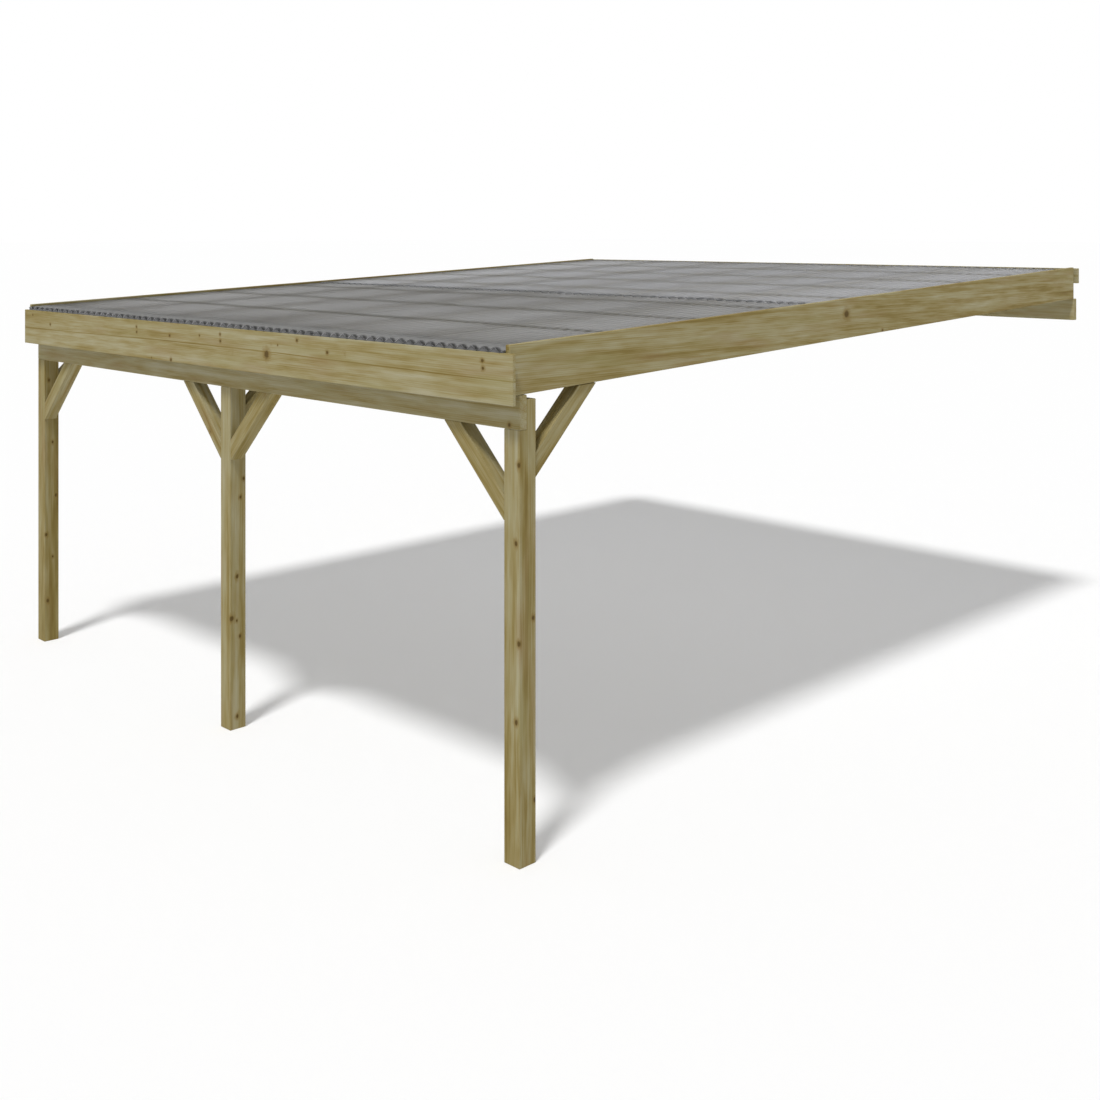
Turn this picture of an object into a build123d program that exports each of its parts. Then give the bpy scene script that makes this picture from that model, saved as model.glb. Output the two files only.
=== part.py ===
from build123d import *
from math import cos, pi, radians, sin, tan
import os

# Lean-to timber carport: a row of posts with a front beam, a plate on the house wall,
# rafters across the two, and a corrugated translucent roof on battens.
# Heights are counted from the ground and depths from the front of the posts, in millimetres.
# X runs along the wall, Y from the posts to the wall and Z up. Each finished piece is moved
# so that the origin lies in the middle of the wall plate's back face.

# Posts: square timbers in one row, cut back at the top to take the front beam.
post_names = ["left", "middle", "right"]
post_side = 100
post_spacing = 2360
post_top_drop = 21

# Front beam: sunk into the posts, flush with their fronts and with the end posts' outer sides.
beam_thickness = 45
beam_depth = 155
beam_clearance = 1930

# Wall plate: bolted to the house, as long as the front beam.
wall_distance = 5590
plate_thickness = 45
plate_depth = 155

# Rafters: notched over the beam and the plate, the end ones just inside the side fascias.
rafter_count = 7
rafter_thickness = 45
rafter_depth = 165
rafter_notch = 3
roof_angle = 2.445

# Battens: laid flat across the rafters.
batten_count = 9
batten_width = 50
batten_depth = 32
batten_inset = 30

# Eave board: one broad board across the rafters' front ends.
eave_overhang = 57.5
eave_thickness = 20
eave_depth = 228
eave_end_overhang = 38
eave_sheet_gap = 2.5

# Eave filler: a foam strip on the eave board that closes the waves of the sheets.
filler_width = 14
filler_inset = 3

# Side fascias: along the end rafters, in line with the posts' outer sides.
fascia_thickness = 27.5
fascia_depth = 226
fascia_lift = 4

# Wall board: behind the rafters' rear ends, its top just under the crests of the waves.
wall_board_thickness = 20
wall_board_depth = 108
wall_board_rise = 25
wall_board_overhang = 20

# Knee braces: square timbers from the posts to the front beam and to the rafters above.
brace_side = 80
brace_angle = 45
front_brace_reach = 410
rear_brace_reach = 402

# Roof sheets: two rows, with one wave of side lap and the upper row lapped over the lower.
sheet_columns = 7
sheet_waves = 10
lap_waves = 1
wave_height = 18
wave_facets = 8
sheet_thickness = 2
sheet_side_gap = 1.5
upper_sheet_length = 3230
upper_sheet_gap = 13
end_lap = 150

# Places that follow from the sizes above.
slope = tan(radians(roof_angle))
plumb = 1 / cos(radians(roof_angle))
half_length = post_spacing * (len(post_names) - 1) / 2 + post_side / 2
beam_top = beam_clearance + beam_depth
post_top = beam_top - post_top_drop
plate_front = wall_distance - plate_thickness
plate_top = beam_top + slope * plate_front
plate_bottom = plate_top - plate_depth
rafter_start = -eave_overhang
rafter_end = wall_distance - wall_board_thickness
eave_front = rafter_start - eave_thickness
fascia_inside = half_length - fascia_thickness
rafter_reach = fascia_inside - rafter_thickness / 2


def rafter_underside(y):
    """Height of the rafters' lower edges at a depth: the slope through both notches."""
    return beam_top - rafter_notch + slope * y


def rafter_topside(y):
    """Height of the rafters' upper edges, on which the battens lie."""
    return rafter_underside(y) + rafter_depth * plumb


def batten_topside(y):
    """Height of the battens' upper faces, on which the waves of the sheets lie."""
    return rafter_topside(y) + batten_depth * plumb


def fascia_underside(y):
    """Height of the side fascias' lower edges."""
    return rafter_underside(y) + fascia_lift


def evenly(first, last, count):
    """Places of a row of like pieces from the first to the last."""
    return [first + (last - first) * i / (count - 1) for i in range(count)]


def level_timber(length, thickness, depth, y_front, z_bottom):
    """A level timber along the wall, centred on the middle post."""
    timber = Box(length, thickness, depth, align=(Align.CENTER, Align.MIN, Align.MIN))
    return Pos(0, y_front, z_bottom) * timber


def side_profile(points, thickness, x_middle):
    """An outline seen from the side, given as depths and heights, made into a timber."""
    face = make_face(Plane.YZ * Polyline(*points, close=True))
    return Pos(x_middle - thickness / 2, 0, 0) * extrude(face, amount=thickness)


def sloping_board(underside, depth, y_start, y_end, thickness, x_middle):
    """A board that follows the roof's slope, with plumb cuts at both ends."""
    points = [
        (y_start, underside(y_start)),
        (y_end, underside(y_end)),
        (y_end, underside(y_end) + depth * plumb),
        (y_start, underside(y_start) + depth * plumb),
    ]
    return side_profile(points, thickness, x_middle)


def post(x_middle):
    """A post with the front of its head cut away to the beam's thickness."""
    points = [
        (0, 0),
        (post_side, 0),
        (post_side, post_top),
        (beam_thickness, post_top),
        (beam_thickness, beam_clearance),
        (0, beam_clearance),
    ]
    return side_profile(points, post_side, x_middle)


def front_brace(x_side, way):
    """A brace from a post's side up to the beam, flush with its front; way is 1 right, -1 left."""
    turn = radians(brace_angle)
    rise = front_brace_reach * tan(turn)
    level_cut = brace_side / sin(turn)
    plumb_cut = brace_side / cos(turn)
    points = [
        (x_side, beam_clearance - rise),
        (x_side + way * front_brace_reach, beam_clearance),
        (x_side + way * (front_brace_reach - level_cut), beam_clearance),
        (x_side, beam_clearance - rise + plumb_cut),
    ]
    face = make_face(Plane.XZ * Polyline(*points, close=True))
    return extrude(face, amount=brace_side, dir=(0, 1, 0))


def rear_brace(x_middle):
    """A brace from a post's back up to the underside of the rafter above it."""
    turn = radians(brace_angle)
    plumb_cut = brace_side / cos(turn)
    tip = post_side + rear_brace_reach
    foot = rafter_underside(tip) - rear_brace_reach * tan(turn)
    inner_rise = rafter_underside(post_side) - foot - plumb_cut
    inner_tip = post_side + inner_rise / (tan(turn) - slope)
    points = [
        (post_side, foot),
        (tip, rafter_underside(tip)),
        (inner_tip, rafter_underside(inner_tip)),
        (post_side, foot + plumb_cut),
    ]
    return side_profile(points, brace_side, x_middle)


def batten(y):
    """A batten lying flat on the rafters between the side fascias."""
    timber = Box(2 * fascia_inside, batten_width, batten_depth,
                 align=(Align.CENTER, Align.CENTER, Align.MIN))
    return Pos(0, y, rafter_topside(y)) * Rot(roof_angle, 0, 0) * timber


roof_width = 2 * (fascia_inside - sheet_side_gap)
column_waves = sheet_waves - lap_waves
roof_waves = column_waves * sheet_columns + lap_waves
wave_pitch = roof_width / roof_waves


def wave_line(height, waves):
    """So many waves, their valleys at a height: a sine along X, in flat facets."""
    middle = height + wave_height / 2
    line = []
    for i in range(waves * wave_facets + 1):
        turn = 2 * pi * i / wave_facets
        line.append((wave_pitch * i / wave_facets, middle + wave_height / 2 * sin(turn)))
    return line


def roof_sheet(column, layer, y_start, length):
    """A sheet whose wave runs up the slope, raised by whole thicknesses where it laps others."""
    lower = wave_line(layer * sheet_thickness, sheet_waves)
    upper = wave_line((layer + 1) * sheet_thickness, sheet_waves)
    face = make_face(Polyline(*lower, *reversed(upper), close=True))
    turn = radians(roof_angle)
    x_start = -roof_width / 2 + column * column_waves * wave_pitch
    down_slope = Plane(origin=(x_start, y_start, batten_topside(y_start)),
                       x_dir=(1, 0, 0), z_dir=(0, -cos(turn), -sin(turn)))
    return extrude(down_slope * face, amount=-length)


eave_top = batten_topside(eave_front) - eave_sheet_gap


def eave_filler():
    """A strip with a level underside on the eave board and the wave of the sheets on top."""
    y_front = eave_front + filler_inset
    top = [(x - roof_width / 2, z) for x, z in wave_line(batten_topside(y_front), roof_waves)]
    underside = [(roof_width / 2, eave_top), (-roof_width / 2, eave_top)]
    face = make_face(Plane.XZ * Polyline(*top, *underside, close=True))
    return Pos(0, y_front, 0) * extrude(face, amount=filler_width, dir=(0, 1, 0))


pieces = {}

# The row of posts and the two level timbers that carry the rafters.
post_places = dict(zip(post_names, evenly(post_side / 2 - half_length,
                                          half_length - post_side / 2, len(post_names))))
for name, x in post_places.items():
    pieces[f"post_{name}"] = post(x)

front_beam = level_timber(2 * half_length, beam_thickness, beam_depth, 0, beam_clearance)
wall_plate = level_timber(2 * half_length, plate_thickness, plate_depth, plate_front, plate_bottom)
pieces["front_beam"] = front_beam
pieces["wall_plate"] = wall_plate

# Rafters, each notched over the beam and the plate.
for i, x in enumerate(evenly(-rafter_reach, rafter_reach, rafter_count)):
    rafter = sloping_board(rafter_underside, rafter_depth, rafter_start, rafter_end,
                           rafter_thickness, x)
    pieces[f"rafter_{i + 1}"] = rafter - front_beam - wall_plate

# Knee braces: inwards along the beam from each post, and back from each post to its rafter.
for name, x in post_places.items():
    if name != post_names[0]:
        pieces[f"front_brace_{name}_post_left"] = front_brace(x - post_side / 2, -1)
    if name != post_names[-1]:
        pieces[f"front_brace_{name}_post_right"] = front_brace(x + post_side / 2, 1)
    pieces[f"rear_brace_{name}_post"] = rear_brace(x)

# Battens from the eave board to the wall board.
for i, y in enumerate(evenly(rafter_start + batten_inset, rafter_end - batten_inset, batten_count)):
    pieces[f"batten_{i + 1}"] = batten(y)

# Boards round the roof's edge.
for name, x in (("left", -half_length + fascia_thickness / 2),
                ("right", half_length - fascia_thickness / 2)):
    pieces[f"side_fascia_{name}"] = sloping_board(fascia_underside, fascia_depth, rafter_start,
                                                  plate_front, fascia_thickness, x)

pieces["eave_board"] = level_timber(2 * (half_length + eave_end_overhang), eave_thickness,
                                    eave_depth, eave_front, eave_top - eave_depth)
pieces["eave_filler"] = eave_filler()

wall_board_top = batten_topside(rafter_end) + wall_board_rise
pieces["wall_board"] = level_timber(2 * (half_length + wall_board_overhang), wall_board_thickness,
                                    wall_board_depth, rafter_end, wall_board_top - wall_board_depth)

# Roof sheets: every second column lies over its neighbours, the upper row over the lower.
upper_start = rafter_end - upper_sheet_gap - upper_sheet_length / plumb
lower_sheet_length = (upper_start - eave_front) * plumb + end_lap
for column in range(sheet_columns):
    over = column % 2
    pieces[f"roof_sheet_lower_{column + 1}"] = roof_sheet(column, over, eave_front,
                                                          lower_sheet_length)
    pieces[f"roof_sheet_upper_{column + 1}"] = roof_sheet(column, over + 2, upper_start,
                                                          upper_sheet_length)

to_wall = Pos(0, -wall_distance, -(plate_bottom + plate_depth / 2))
os.makedirs("parts", exist_ok=True)
for name, piece in pieces.items():
    export_step(to_wall * piece, f"parts/{name}.step")
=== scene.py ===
# %% [markdown]
# # A lean-to carport in treated pine
# The carport leans on a house wall. Posts, a front beam and a wall plate carry rafters, and
# battens on the rafters carry a translucent corrugated roof. The frame below already holds every
# timber at its true place and size, so this lesson sets up the camera, gives each timber its
# finish, remakes the roof sheets as smooth waves, and then adds light and floor.

# %% Load the frame
from math import cos, pi, radians, sin

import bpy
import numpy as np
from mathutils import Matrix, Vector


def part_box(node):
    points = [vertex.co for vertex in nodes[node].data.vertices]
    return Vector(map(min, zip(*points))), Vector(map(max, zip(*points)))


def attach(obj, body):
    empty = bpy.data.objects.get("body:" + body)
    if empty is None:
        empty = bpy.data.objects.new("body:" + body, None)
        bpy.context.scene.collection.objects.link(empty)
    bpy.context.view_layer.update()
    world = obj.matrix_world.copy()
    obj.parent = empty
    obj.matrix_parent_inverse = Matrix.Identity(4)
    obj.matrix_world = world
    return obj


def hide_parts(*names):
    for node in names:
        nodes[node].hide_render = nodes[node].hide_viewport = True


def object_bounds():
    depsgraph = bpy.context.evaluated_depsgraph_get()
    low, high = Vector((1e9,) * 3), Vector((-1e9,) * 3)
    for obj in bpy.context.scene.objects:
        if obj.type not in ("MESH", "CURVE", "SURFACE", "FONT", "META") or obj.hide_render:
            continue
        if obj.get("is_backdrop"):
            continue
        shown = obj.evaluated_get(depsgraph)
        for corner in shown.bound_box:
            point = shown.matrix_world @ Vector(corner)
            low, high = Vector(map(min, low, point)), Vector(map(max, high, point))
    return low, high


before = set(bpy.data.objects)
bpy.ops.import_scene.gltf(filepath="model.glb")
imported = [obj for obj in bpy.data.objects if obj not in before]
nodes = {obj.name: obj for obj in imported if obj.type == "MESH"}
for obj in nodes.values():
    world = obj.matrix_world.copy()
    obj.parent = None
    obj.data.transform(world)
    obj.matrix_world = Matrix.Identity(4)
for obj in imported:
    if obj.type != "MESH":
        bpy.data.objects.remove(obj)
cad_low, cad_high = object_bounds()
print("loaded", len(nodes), "pieces between", cad_low[:], "and", cad_high[:])

# %% [markdown]
# ## The camera
# The picture is a two-point perspective: every upright edge stays upright, although the camera
# looks down on the roof. A tilted camera would make the posts lean together, so the camera is
# level and its lens is shifted down instead, as on a view camera. Its place is measured from the
# outer front corner of the right post's foot, with the post's own side as the unit.

# %% Camera
PICTURE = 1100
FOCAL_PIXELS = 1365.73
HORIZON_PIXEL = 232.95
YAW = radians(45.19)
CAMERA_IN_POSTS = Vector((43.533, -41.356, 27.994))
SENSOR = 36

post_low, post_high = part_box("post_right")
post_side = post_high.x - post_low.x
floor_height = post_low.z
foot_corner = Vector((post_high.x, post_low.y, floor_height))

lens = bpy.data.cameras.new("view_lens")
lens.sensor_width = SENSOR
lens.lens = SENSOR * FOCAL_PIXELS / PICTURE
lens.shift_y = (HORIZON_PIXEL - PICTURE / 2) / PICTURE
view = bpy.data.objects.new("view", lens)
view.location = foot_corner + CAMERA_IN_POSTS * post_side
view.rotation_euler = (pi / 2, 0, YAW)
bpy.context.scene.collection.objects.link(view)
bpy.context.scene.camera = view
print("camera at", view.location[:], "lens", round(lens.lens, 2), "shift", round(lens.shift_y, 4))

# %% [markdown]
# ## Shader sums as Python
# A finish is easier to read as a sum than as a drawing of nodes. One small class wraps a socket:
# the usual operators add Math nodes, and `node` adds any other node with its settings and inputs.

# %% Shader values
class Signal:
    """One value in a material. Arithmetic on it adds Math nodes, and node() any other node."""

    def __init__(self, tree, socket):
        self.tree, self.socket = tree, socket

    def node(self, kind, settings=None, sockets=None, out=0):
        """Adds a node of a kind: its settings first, then the values or links of its sockets."""
        made = self.tree.nodes.new(kind)
        for name, value in (settings or {}).items():
            if name == "stops":
                set_stops(made.color_ramp, value)
            else:
                setattr(made, name, value)
        for name, value in (sockets or {}).items():
            if isinstance(value, Signal):
                self.tree.links.new(value.socket, made.inputs[name])
            else:
                made.inputs[name].default_value = value
        return Signal(self.tree, made.outputs[out])

    def math(self, operation, *values):
        """Adds a Math node for an operation on one or two values."""
        return self.node("ShaderNodeMath", {"operation": operation}, dict(enumerate(values)))

    def __add__(self, other):
        return self.math("ADD", self, other)

    __radd__ = __add__

    def __sub__(self, other):
        return self.math("SUBTRACT", self, other)

    def __rsub__(self, other):
        return self.math("SUBTRACT", other, self)

    def __mul__(self, other):
        return self.math("MULTIPLY", self, other)

    __rmul__ = __mul__

    def feed(self, socket):
        """Links this value to a shader's socket."""
        self.tree.links.new(self.socket, socket)


def set_stops(ramp, stops):
    """Gives a colour ramp its stops: (place, colour) pairs from left to right."""
    while len(ramp.elements) < len(stops):
        ramp.elements.new(1)
    for element, (place, colour) in zip(ramp.elements, stops):
        element.position = place
        element.color = (*colour, 1)


def new_finish(name):
    """A new material, its Principled shader and its Object coordinates."""
    material = bpy.data.materials.new(name)
    material.use_nodes = True
    tree = material.node_tree
    place = Signal(tree, tree.nodes.new("ShaderNodeTexCoord").outputs["Object"])
    return material, tree.nodes["Principled BSDF"], place


print("shader helper ready")

# %% [markdown]
# ## Knots
# A knot is the foot of a branch: a dark heart with a brown rim, longer along the grain than across
# it. The ones that show in the picture are set where they are seen, in metres in the frame, with
# their size. Left sides and backs, which the picture hides, get knots drawn by chance, fewer on
# short pieces. Voronoi cells would scatter them too, but not where they are seen.

# %% Places of the knots
SEEN_KNOTS = {
    "post_right": [(2.405, -5.590, -0.467, 1.0), (2.388, -5.590, -0.814, 1.0),
                   (2.405, -5.590, -1.254, 1.0), (2.388, -5.590, -1.603, 1.0),
                   (2.410, -5.506, -1.153, 0.9), (2.410, -5.496, -1.963, 0.9)],
    "post_middle": [(0.050, -5.545, -1.383, 1.0), (0.050, -5.523, -0.938, 0.8),
                    (0.050, -5.504, -0.835, 0.7), (0.050, -5.580, -1.615, 1.3),
                    (0.050, -5.548, -1.632, 0.6), (0.050, -5.527, -1.723, 0.8),
                    (0.050, -5.545, -2.172, 1.0)],
    "post_left": [(-2.310, -5.533, -0.882, 0.8), (-2.310, -5.511, -1.250, 0.9),
                  (-2.310, -5.578, -1.513, 1.0), (-2.310, -5.533, -1.669, 0.7),
                  (-2.310, -5.568, -1.966, 1.1), (-2.310, -5.559, -0.455, 0.8)],
    "eave_board": [(-2.322, -5.667, -0.002, 0.7), (-2.054, -5.667, -0.055, 0.8),
                   (-0.881, -5.667, -0.013, 0.8), (-0.878, -5.667, -0.045, 0.8),
                   (-0.484, -5.667, -0.046, 0.9), (-0.150, -5.667, -0.028, 0.6),
                   (0.070, -5.667, -0.009, 0.8), (0.073, -5.667, -0.047, 0.9),
                   (-0.469, -5.667, -0.188, 1.0), (-0.697, -5.667, -0.190, 0.5),
                   (0.535, -5.667, -0.092, 2.3), (0.816, -5.667, -0.001, 0.9),
                   (0.639, -5.667, -0.036, 0.5), (1.083, -5.667, -0.047, 0.9),
                   (2.251, -5.667, -0.011, 0.9), (2.255, -5.667, -0.045, 0.9)],
    "front_beam": [(2.344, -5.590, -0.296, 1.0)],
    "side_fascia_right": [(2.410, -3.007, 0.090, 2.3), (2.410, -2.623, -0.023, 0.9)],
    "front_brace_middle_post_left": [(-0.164, -5.580, -0.581, 1.2)],
    "front_brace_middle_post_right": [(0.399, -5.580, -0.327, 0.9)],
}
KNOTS_PER_METRE = 1.5
CHANCE_SPAN = (0.08, 0.92)
CHANCE_SIZES = (0.6, 1.2)


def knots_of(name, draw):
    """The seen knots of a timber, and others drawn by chance on its left side and its back."""
    low, high = (np.array(corner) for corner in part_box(name))
    size = high - low
    length = size.argmax()
    knots = [(Vector(knot[:3]), knot[3]) for knot in SEEN_KNOTS.get(name, [])]
    for _ in range(int(size[length] * KNOTS_PER_METRE)):
        place = low + draw.uniform(*CHANCE_SPAN, 3) * size
        side = draw.choice([axis for axis in (0, 1) if axis != length])
        place[side] = low[0] if side == 0 else high[1]
        knots.append((Vector(place), draw.uniform(*CHANCE_SIZES)))
    return knots


print("knots seen in the picture:", sum(len(knots) for knots in SEEN_KNOTS.values()))

# %% [markdown]
# ## Noise drawn out along the grain
# Wood fibres run along a timber, so most marks on it are longer than they are wide. Plain noise is
# squeezed before it is read: few swings along the grain and many across it. A smooth fade between
# two limits then turns a distance or a noise into the edge of a mark.

# %% Noise and fades
def stretched(wood, seed, along, across, detail):
    """Noise with so many swings per metre along and across the grain. Half is taken off, so that it
    swings about zero."""
    squeezed = wood.node("ShaderNodeVectorMath", {"operation": "MULTIPLY"}, {
        0: wood, 1: (along, across, across)})
    return squeezed.node("ShaderNodeTexNoise", {"noise_dimensions": "4D"}, {
        "Vector": squeezed, "W": seed, "Scale": 1, "Detail": detail}) - 0.5


def fade(value, start, end):
    """0 at the start, 1 at the end, smooth between them."""
    return value.node("ShaderNodeMapRange", {"interpolation_type": "SMOOTHSTEP"}, {
        "Value": value, "From Min": start, "From Max": end, "To Min": 0, "To Max": 1})


print("noise helpers ready")

# %% [markdown]
# ## Marks of the knots
# Each knot is taken as a small egg in the solid wood, so its mark on any face follows from the
# distance to its middle. Where several knots are near, the nearest one counts. Noise on the distance
# makes the outline ragged. On posts and braces the marks are longer than on level timbers.

# %% Knot marks
KNOT_RADIUS = 0.0098
UPRIGHT_KNOT, LEVEL_KNOT = 1.4, 1.05
FAR_FROM_KNOTS = 9
HEART_EDGE = (1.15, 0.55)
RIM_EDGE = (2.6, 0.8)
RAGGED_NOISE = (40, 70, 1)
RAGGED_SHARE = 0.9


def knot_marks(wood, knots, length, ragged):
    """Heart and rim of the nearest knot, each 0 to 1, by the distance in knot radii. The distance
    along the grain is divided by the knots' length, and noise makes it ragged."""
    shrink = Vector((1 / length, 1, 1))
    short = wood.node("ShaderNodeVectorMath", {"operation": "MULTIPLY"}, {0: wood, 1: shrink})
    nearest = ragged * 0 + FAR_FROM_KNOTS
    for spot, size in knots:
        distance = short.node("ShaderNodeVectorMath", {"operation": "DISTANCE"}, {
            0: short, 1: spot * shrink}, out=1)
        nearest = nearest.math("MINIMUM", nearest, distance * (1 / (size * KNOT_RADIUS)))
    nearest = nearest * (ragged * RAGGED_SHARE + 1)
    return fade(nearest, *HEART_EDGE), fade(nearest, *RIM_EDGE)


print("knots of size 1 are", KNOT_RADIUS, "m in radius")

# %% [markdown]
# ## Rings and vein
# Each timber is sawn from a trunk, so its pattern is solid: yearly rings round a pith, drawn out
# along the timber. Flat boards with a painted grain would show the same lines on their ends and
# edges, so the rings are worked out in three dimensions. They bend with the trunk and give way round
# a knot. Along the eave board runs one dark vein with paler wood below it. Noise alone would not
# put it where it is seen, so it follows a gentle curve.

# %% Rings and vein
RINGS_PER_METRE = 110
PITH_BESIDE, PITH_ABOVE = -0.03, 0.05
BEND_NOISE = (0.9, 5, 2)
BEND_BESIDE = 0.05
BEND_SHARE_ABOVE = 0.7
KNOT_PUSH = 0.006
VEIN_NOISE = (3, 0, 1)
VEIN_WOBBLE = 0.006
VEIN_EDGE = (0.0045, 0.001)
VEIN_DARK, VEIN_PATCHY = 0.42, 0.6
PALE_EDGE = (0.012, -0.012)
PALE_BELOW = 0.1


def year_rings(parts, noise, rim):
    """Rings = the sine of the distance from the pith. Noise bends the distance and knots add to it."""
    bend = noise * BEND_BESIDE
    beside = parts[1] + bend - PITH_BESIDE
    above = parts[2] + bend * BEND_SHARE_ABOVE - PITH_ABOVE
    squares = beside * beside + above * above
    radius = squares.math("SQRT", squares) + rim * KNOT_PUSH
    turns = radius * (2 * pi * RINGS_PER_METRE)
    return turns.math("SINE", turns)


def vein_tone(parts, shift, vein, wobble, patches):
    """Tone of a vein: its height follows a cosine along the grain, and the wood below it is paler."""
    height, sway, length = vein
    turns = (parts[0] - shift.x) * (2 * pi / length)
    bow = turns.math("COSINE", turns)
    above = parts[2] - shift.z - height - bow * sway + wobble * VEIN_WOBBLE
    dark = fade(above.math("ABSOLUTE", above), *VEIN_EDGE) * (VEIN_DARK + patches * VEIN_PATCHY)
    return fade(above, *PALE_EDGE) * PALE_BELOW - dark


print("rings are", round(1000 / RINGS_PER_METRE, 1), "mm apart")

# %% [markdown]
# ## Treated pine
# Pressure treatment leaves a pale green cast in the light wood and a yellow brown in the dense
# wood, with faint red and green blots. Broad streaks, patches, fine fibres and rings add up to one
# tone, which a colour ramp turns into wood. A separate colour for each would drift apart, so they
# share the ramp. The pattern is first turned so that the grain runs along the timber, and centred
# on it, give or take a shift by chance.

# %% Pine finish
WOOD_STOPS = ((0.00, (0.175, 0.118, 0.028)), (0.28, (0.228, 0.170, 0.048)),
              (0.50, (0.284, 0.228, 0.092)), (0.74, (0.335, 0.292, 0.154)),
              (1.00, (0.385, 0.350, 0.225)))
BROAD_NOISE, PATCH_NOISE, FINE_NOISE = (0.8, 26, 2), (5, 34, 2), (4, 150, 3)
BROAD_SHARE, PATCH_SHARE, FINE_SHARE, RING_SHARE = 1.25, 0.8, 0.7, 0.05
MIDDLE_TONE = 0.5
BLOTS = (((0.265, 0.175, 0.078), (2.2, 15, 2)), ((0.290, 0.262, 0.112), (1.6, 13, 2)))
BLOT_EDGE = (0, 0.28)
BLOT_SHARE = 0.4
KNOT_RIM = (0.210, 0.136, 0.032)
RIM_SHARE = 0.7
KNOT_HEART = (0.098, 0.060, 0.012)
WOOD_ROUGH, FINE_ROUGH = 0.66, 0.2
WOOD_SHINE = 0.2
RING_RELIEF, FINE_RELIEF = 0.18, 0.65
RELIEF_STRENGTH, RELIEF_DEPTH = 0.25, 0.0012
CHANCE_SHIFT = (3, 0.05, 0.05)
SEED_RANGE = (0, 50)


def tinted(colour, share, tint):
    """A colour mixed with a share of a tint."""
    return colour.node("ShaderNodeMix", {"data_type": "RGBA"}, {
        0: share, 6: colour, 7: (*tint, 1)}, out=2)


def pine(name, grain, centre, draw, knots, pale_and_painted_light, figure, vein=None):
    """Pine with its grain along a direction. Tone = the sum of streaks, patches, fibres and rings,
    times the figure, plus a middle tone and how pale the timber is: partly its own paleness, partly
    painted light and shade."""
    finish, surface, place = new_finish(name)
    turn = Vector(grain).rotation_difference(Vector((1, 0, 0)))
    shift = Vector(draw.uniform(-1, 1, 3) * CHANCE_SHIFT) - turn @ Vector(centre)
    wood = place.node("ShaderNodeMapping", {}, {
        "Vector": place, "Rotation": turn.to_euler(), "Location": shift})
    parts = [wood.node("ShaderNodeSeparateXYZ", {}, {0: wood}, out=i) for i in range(3)]
    seed = draw.uniform(*SEED_RANGE)

    knot_length = UPRIGHT_KNOT if "post" in name or "brace" in name else LEVEL_KNOT
    spots = [(turn @ spot + shift, size) for spot, size in knots]
    heart, rim = knot_marks(wood, spots, knot_length, stretched(wood, seed, *RAGGED_NOISE))
    rings = year_rings(parts, stretched(wood, seed, *BEND_NOISE), rim)
    broad = stretched(wood, seed, *BROAD_NOISE)
    patches = stretched(wood, seed, *PATCH_NOISE)
    fine = stretched(wood, seed, *FINE_NOISE)
    pattern = broad * BROAD_SHARE + patches * PATCH_SHARE + fine * FINE_SHARE + rings * RING_SHARE
    # painted light and shade: the tone is raised or lowered per timber, partly for its own paleness
    # and partly for how light falls on it
    tone = pattern * figure + (MIDDLE_TONE + pale_and_painted_light)
    if vein:
        tone = tone + vein_tone(parts, shift, vein, stretched(wood, seed, *VEIN_NOISE), patches)

    colour = tone.node("ShaderNodeValToRGB", {"stops": WOOD_STOPS}, {0: tone})
    for tint, swings in BLOTS:
        blot = fade(stretched(wood, seed, *swings), *BLOT_EDGE)
        colour = tinted(colour, blot * BLOT_SHARE, tint)
    colour = tinted(colour, rim * RIM_SHARE, KNOT_RIM)
    tinted(colour, heart, KNOT_HEART).feed(surface.inputs["Base Color"])
    (WOOD_ROUGH - fine * FINE_ROUGH).feed(surface.inputs["Roughness"])
    surface.inputs["Specular IOR Level"].default_value = WOOD_SHINE
    relief = rings * RING_RELIEF + fine * FINE_RELIEF
    bump = relief.node("ShaderNodeBump", {}, {
        "Height": relief, "Strength": RELIEF_STRENGTH, "Distance": RELIEF_DEPTH})
    bump.feed(surface.inputs["Normal"])
    return finish


print("pine from", len(WOOD_STOPS), "tones")

# %% [markdown]
# ## Every timber its own wood
# No two boards in a stack are alike, and one finish for all would show the same streaks side by
# side. Each timber gets its own draw of the pattern, with its grain along its length. The timbers
# that show most are set paler, darker or with more figure, as they look in the picture. How pale a
# timber is set is partly its own tone and partly painted light and shade: the wall plate and wall
# board are made paler though the roof shades them, and the left post darker.

# %% Dress the timbers
# Tones per timber: partly each timber's own paleness, partly painted light and shade, as where the
# wall plate and wall board are made paler under the roof's shade and the left post darker.
PALE_AND_PAINTED_LIGHT = {"front_beam": 0.16, "post_right": 0.06, "post_middle": 0.15, "post_left": -0.12,
        "side_fascia_right": 0, "side_fascia_left": 0, "eave_board": 0.13, "wall_board": 0.35,
        "wall_plate": 0.22}
USUAL_PALE = 0.04
FIGURE = {"side_fascia_right": 1.2, "side_fascia_left": 1.2, "post_right": 1.1}
USUAL_FIGURE = 1
VEINS = {"eave_board": (-0.084, 0.0078, 4.9)}


def grain_of(name):
    """The way a timber's grain runs: along its longest side, or along the slope of a brace."""
    if name.startswith("rear_brace"):
        return (0, 1, 1)
    if name.startswith("front_brace"):
        return (1 if name.endswith("right") else -1, 0, 1)
    low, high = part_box(name)
    size = high - low
    longest = max(range(3), key=lambda i: size[i])
    return tuple(float(i == longest) for i in range(3))


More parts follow.
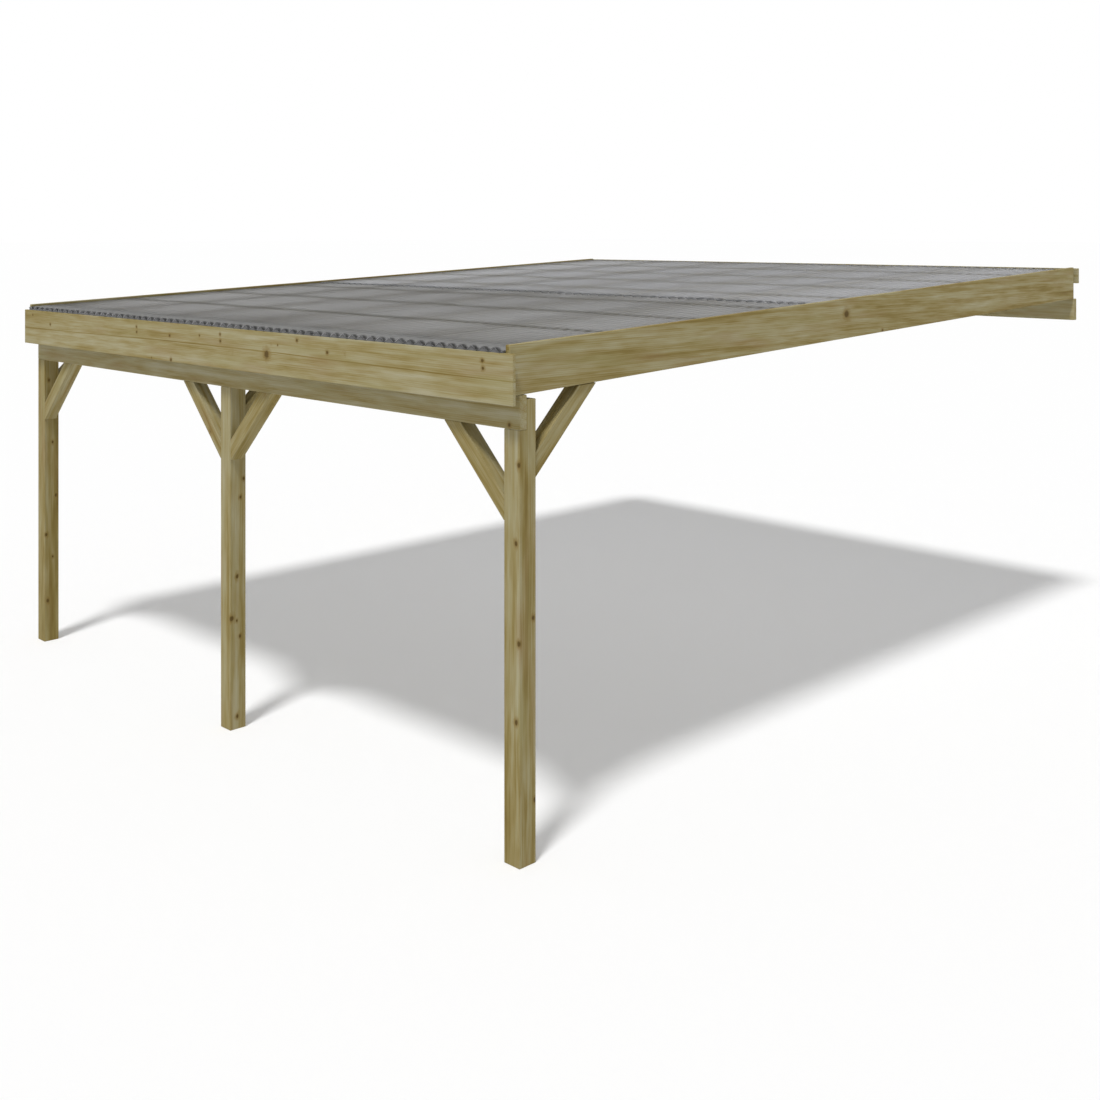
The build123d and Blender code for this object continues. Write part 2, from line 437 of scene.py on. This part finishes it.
draw = np.random.default_rng(7)
timbers = [name for name in sorted(nodes) if not name.startswith(("roof_sheet", "eave_filler"))]
for name in timbers:
    low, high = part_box(name)
    piece = nodes[name]
    piece.data.materials.clear()
    piece.data.materials.append(pine(
        "pine_" + name, grain_of(name), (low + high) / 2, draw, knots_of(name, draw),
        PALE_AND_PAINTED_LIGHT.get(name, USUAL_PALE), FIGURE.get(name, USUAL_FIGURE), VEINS.get(name)))
print("pine on", len(timbers), "timbers")

# %% [markdown]
# ## Eased edges
# Planed timber leaves the mill with its edges rounded by a few millimetres, which catch the light.
# The frame's timbers are loose triangles with sharp edges. A Weld modifier joins them and a Bevel
# modifier then rounds what is left sharp, so the frame itself stays as it is.

# %% Round the timbers' edges
EDGE_ROUND = 0.003
ROUND_SEGMENTS = 2
SHARP_ANGLE = radians(30)
JOIN_WITHIN = 1e-5

for name in timbers:
    weld = nodes[name].modifiers.new("join", "WELD")
    weld.merge_threshold = JOIN_WITHIN
    bevel = nodes[name].modifiers.new("ease", "BEVEL")
    bevel.width = EDGE_ROUND
    bevel.segments = ROUND_SEGMENTS
    bevel.limit_method = "ANGLE"
    bevel.angle_limit = SHARP_ANGLE
print("eased edges by", EDGE_ROUND, "m")

# %% [markdown]
# ## Corrugated roof sheets
# The real sheets are thin grey plastic pressed into a wave. The frame's sheets have a few flat
# facets to each wave. Here each is remade as a smooth sine: a closed outline, the wave out and the
# wave back a thickness higher, is carried up the slope in equal steps. Smooth shading on the flat
# facets would leave their corners in the outline at the eave.

# %% Smooth waves
WAVES = 10
WAVE_STEPS = 20
SLOPE_STEPS = 12
SHEET_THICKNESS = 0.002
AIR_BETWEEN = 0.0003
ROOF_ANGLE = radians(2.445)
OFF_ROOF = np.array([0, -sin(ROOF_ANGLE), cos(ROOF_ANGLE)])
UP_SLOPE = np.array([0, cos(ROOF_ANGLE), sin(ROOF_ANGLE)])


def mesh_piece(name, points, faces):
    """A mesh object at the origin from arrays of points and faces."""
    mesh = bpy.data.meshes.new(name)
    mesh.from_pydata(points.tolist(), [], faces)
    mesh.update()
    piece = bpy.data.objects.new(name, mesh)
    bpy.context.scene.collection.objects.link(piece)
    return piece


def carried_faces(count):
    """Faces of an outline of so many points carried up the slope: the skins between the steps, and
    the caps that close the low end and the high end."""
    step, point = np.meshgrid(np.arange(SLOPE_STEPS), np.arange(count), indexing="ij")
    low, high, beside = step * count, (step + 1) * count, (point + 1) % count
    skins = np.stack([low + point, high + point, high + beside, low + beside], -1).reshape(-1, 4)
    out = np.arange(count // 2 - 1)
    low_caps = np.stack([out, out + 1, count - 2 - out, count - 1 - out], -1)
    high_caps = low_caps[:, ::-1] + SLOPE_STEPS * count
    return skins, np.concatenate([low_caps, high_caps])


def wave_sheet(name, node, first, last, hidden):
    """Height of the wave = half its height times the sine of x, from the first to the last wave. The
    outline goes out along the lower side and back along the upper side, and is carried in steps from
    the low end to the high end, less the length hidden there."""
    corners = np.empty(len(node.data.vertices) * 3)
    node.data.vertices.foreach_get("co", corners)
    corners = corners.reshape(-1, 3)
    reach, lift = corners @ UP_SLOPE, corners @ OFF_ROOF
    turns = np.linspace(first, last, round((last - first) * WAVE_STEPS) + 1)
    x = corners[:, 0].min() + np.ptp(corners[:, 0]) * turns / WAVES
    half = (lift.max() - lift.min() - SHEET_THICKNESS) / 2
    wave = lift.min() + half + half * np.sin(2 * pi * turns)
    outline_lift = np.concatenate([wave, wave[::-1] + SHEET_THICKNESS - AIR_BETWEEN])
    steps = np.linspace(reach.min(), reach.max() - hidden, SLOPE_STEPS + 1)
    grid = outline_lift[None, :, None] * OFF_ROOF + steps[:, None, None] * UP_SLOPE
    grid[:, :, 0] = np.concatenate([x, x[::-1]])
    skins, caps = carried_faces(len(outline_lift))
    piece = mesh_piece(name, grid.reshape(-1, 3), np.concatenate([skins, caps]).tolist())
    is_cap = np.arange(len(skins) + len(caps)) >= len(skins)
    piece.data.polygons.foreach_set("use_smooth", ~is_cap)
    piece.data.polygons.foreach_set("material_index", is_cap.astype(np.int32))
    return piece


print("waves in", WAVE_STEPS, "steps each")

# %% [markdown]
# ## Laps
# Every second column of sheets lies over its neighbours, and the upper row over the lower one.
# Pressed plastic nests so tightly that a lap hardly shows. Two loose skins would draw a dark stripe
# there, so a sheet that lies under another stops shortly after the upper one's edge.

# %% Remake the sheets
COLUMNS = 7
LAP_SHOWN = 0.1
END_LAP = 0.150
END_LAP_SHOWN = 0.055

sheets = []
for name in sorted(n for n in nodes if n.startswith("roof_sheet")):
    column = int(name[-1])
    lies_under = column % 2 == 1
    first = 1 - LAP_SHOWN if lies_under and column > 1 else 0
    last = WAVES - 1 + LAP_SHOWN if lies_under and column < COLUMNS else WAVES
    hidden = END_LAP - END_LAP_SHOWN if "lower" in name else 0
    sheet = wave_sheet("wave_" + name, nodes[name], first, last, hidden)
    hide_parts(name)
    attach(sheet, "root")
    sheets.append(sheet)
print("remade", len(sheets), "sheets")

# %% [markdown]
# ## Translucent grey plastic
# The sheets scatter the light that passes through them: the shade below is even, while battens and
# rafters, which keep the light off the underside, show from above as darker lines. A clear surface
# would draw the frame's grid on the floor, so each skin of the sheet mixes a plain grey plastic
# with a translucent shader. The upper row is a lighter copy of the same plastic, which passes a
# little more light than the lower one: painted light, so that the upper row shows brighter. Behind
# the eave a strip of lighter grey with less light passing through is painted light: it offsets the
# shade where the filler, eave board and first batten keep light off the underside. The cut ends are
# dark.

# %% Sheet finish
SHEET_GREY = (0.07, 0.07, 0.07, 1)
# painted light behind the eave: a lighter grey from just behind the cut end to about a quarter metre
# up the slope
PAINTED_LIGHT_GREY = (0.27, 0.27, 0.265, 1)
PAINTED_LIGHT_STARTS, PAINTED_LIGHT_FULL, PAINTED_LIGHT_ENDS = 0.012, 0.034, 0.26
PAINTED_LIGHT_BLOCKS = 0.6
STREAK_SWINGS = (9, 0.8, 9)
STREAK_DETAIL = 3
STREAK_LIGHT, DARK_STREAK = 0.3, 0.85
SHEET_ROUGH, STREAK_ROUGH = 0.32, 0.12
SHEET_SHINE = 0.1
# painted light: the upper row is a lighter copy of the same plastic, passing more light so that it
# shows brighter
LOWER_ROW = {"glow": (0.86, 0.86, 0.86, 1), "share": 0.72}
UPPER_ROW = {"glow": (0.915, 0.92, 0.935, 1), "share": 0.80}
CUT_GREY = (0.02, 0.02, 0.021, 1)
CUT_ROUGH = 0.5


def sheet_plastic(name, glow, share):
    """Grey plastic that lets a share of the light through as a glow. Near the eave a strip of painted
    light makes the grey lighter and takes part of the share; faint streaks of noise run down the
    slope."""
    finish, surface, place = new_finish(name)
    squeezed = place.node("ShaderNodeVectorMath", {"operation": "MULTIPLY"}, {
        0: place, 1: STREAK_SWINGS})
    streaks = squeezed.node("ShaderNodeTexNoise", {}, {
        "Vector": squeezed, "Scale": 1, "Detail": STREAK_DETAIL})
    from_eave = place.node("ShaderNodeSeparateXYZ", {}, {0: place}, out=1) - cad_low.y
    # painted light: a strip of lighter grey behind the eave, offsetting the shade below it
    painted_light = fade(from_eave, PAINTED_LIGHT_STARTS, PAINTED_LIGHT_FULL) * fade(from_eave, PAINTED_LIGHT_ENDS, PAINTED_LIGHT_FULL)
    grey = painted_light.node("ShaderNodeMix", {"data_type": "RGBA"}, {
        0: painted_light, 6: SHEET_GREY, 7: PAINTED_LIGHT_GREY}, out=2)
    grey = grey.node("ShaderNodeHueSaturation", {}, {
        "Color": grey, "Value": streaks * STREAK_LIGHT + DARK_STREAK})
    grey.feed(surface.inputs["Base Color"])
    (SHEET_ROUGH + streaks * STREAK_ROUGH).feed(surface.inputs["Roughness"])
    surface.inputs["Specular IOR Level"].default_value = SHEET_SHINE
    plastic = Signal(place.tree, surface.outputs["BSDF"])
    through = place.node("ShaderNodeBsdfTranslucent", {}, {"Color": glow})
    skin = place.node("ShaderNodeMixShader", {}, {
        0: share - painted_light * (PAINTED_LIGHT_BLOCKS * share), 1: plastic, 2: through})
    skin.feed(place.tree.nodes["Material Output"].inputs["Surface"])
    return finish


lower_plastic = sheet_plastic("grey_sheet_lower_row", **LOWER_ROW)
upper_plastic = sheet_plastic("grey_sheet_upper_row", **UPPER_ROW)
cut, cut_surface, _ = new_finish("sheet_cut_end")
cut_surface.inputs["Base Color"].default_value = CUT_GREY
cut_surface.inputs["Roughness"].default_value = CUT_ROUGH
for sheet in sheets:
    sheet.data.materials.append(upper_plastic if "upper" in sheet.name else lower_plastic)
    sheet.data.materials.append(cut)
print("plastic on", len(sheets), "sheets")

# %% [markdown]
# ## Foam filler
# A strip of grey foam closes the waves along the eave. It is matt and even, so a plain colour does.

# %% Filler finish
FOAM_GREY = (0.145, 0.145, 0.145, 1)
FOAM_ROUGH = 0.9
FOAM_SHINE = 0.2

foam, foam_surface, _ = new_finish("grey_foam")
foam_surface.inputs["Base Color"].default_value = FOAM_GREY
foam_surface.inputs["Roughness"].default_value = FOAM_ROUGH
foam_surface.inputs["Specular IOR Level"].default_value = FOAM_SHINE
nodes["eave_filler"].data.materials.clear()
nodes["eave_filler"].data.materials.append(foam)
print("foam on the eave filler")

# %% [markdown]
# ## Light
# A soft sun stands in front and a little to the right, high enough that the roof's shadow falls
# back under it. An even white sky fills the rest. Seen straight the sky is plain white, which makes
# the backdrop. As a light it is dimmer, or it would wash out the shadow.

# %% Sun and sky
TO_SUN = Vector((0.2, -0.455, 1.0))
SUN_STRENGTH = 2.4
SUN_SOFTNESS = radians(9)
SKY_STRENGTH = 0.36
WHITE = (1, 1, 1, 1)


def seen_rays(tree):
    """1 for what the eye sees, straight or in gloss or glass, and 0 for scattered light."""
    rays = tree.nodes.new("ShaderNodeLightPath").outputs
    straight, gloss, glass, scattered = (Signal(tree, rays["Is " + kind + " Ray"])
                                         for kind in ("Camera", "Glossy", "Transmission", "Diffuse"))
    return straight.math("MAXIMUM", straight, gloss.math("MAXIMUM", gloss, glass * (1 - scattered)))


sun_light = bpy.data.lights.new("sun", "SUN")
sun_light.energy = SUN_STRENGTH
sun_light.angle = SUN_SOFTNESS
sun = bpy.data.objects.new("sun", sun_light)
sun.rotation_euler = TO_SUN.to_track_quat("Z", "Y").to_euler()
bpy.context.scene.collection.objects.link(sun)

world = bpy.data.worlds.new("white_sky")
bpy.context.scene.world = world
world.use_nodes = True
sky = world.node_tree.nodes["Background"]
sky.inputs["Color"].default_value = WHITE
seen = seen_rays(world.node_tree)
(seen * (1 - SKY_STRENGTH) + SKY_STRENGTH).feed(sky.inputs["Strength"])
bpy.context.scene.view_settings.view_transform = "Standard"
print("sun from", TO_SUN[:], "sky", SKY_STRENGTH)

# %% [markdown]
# ## Floor
# The floor is plain white and reaches far beyond the view, so that it meets the white backdrop
# without a line. A share of even white lightens the shadow on it, where a stronger sky would have
# lightened the timbers as well.

# %% Floor
FLOOR_WHITE = (0.95, 0.95, 0.95, 1)
FLOOR_REACH = 400
FLOOR_GLOW = 0.21

corners = FLOOR_REACH * np.array([(-1, -1, 0), (1, -1, 0), (1, 1, 0), (-1, 1, 0)], float)
floor = mesh_piece("floor", corners + (0, 0, floor_height), [(0, 1, 2, 3)])
floor_finish, floor_surface, _ = new_finish("white_floor")
floor_surface.inputs["Base Color"].default_value = FLOOR_WHITE
floor_surface.inputs["Roughness"].default_value = 1
floor_surface.inputs["Specular IOR Level"].default_value = 0
seen_floor = seen_rays(floor_finish.node_tree)
matt_white = Signal(seen_floor.tree, floor_surface.outputs["BSDF"])
even_white = seen_floor.node("ShaderNodeEmission", {}, {"Color": WHITE, "Strength": 1})
floor_mix = seen_floor.node("ShaderNodeMixShader", {}, {
    0: seen_floor * FLOOR_GLOW, 1: matt_white, 2: even_white})
floor_mix.feed(seen_floor.tree.nodes["Material Output"].inputs["Surface"])
floor.data.materials.append(floor_finish)
floor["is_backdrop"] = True
print("floor at", round(floor_height, 3))

# %% [markdown]
# ## Sizes
# The finish should not make the carport larger than its frame. The box of the finished carport is
# printed here, to be compared with the box of the frame printed when the frame was loaded.

# %% Write the sizes and finish
low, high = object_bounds()
print("visual box", low[:], high[:])
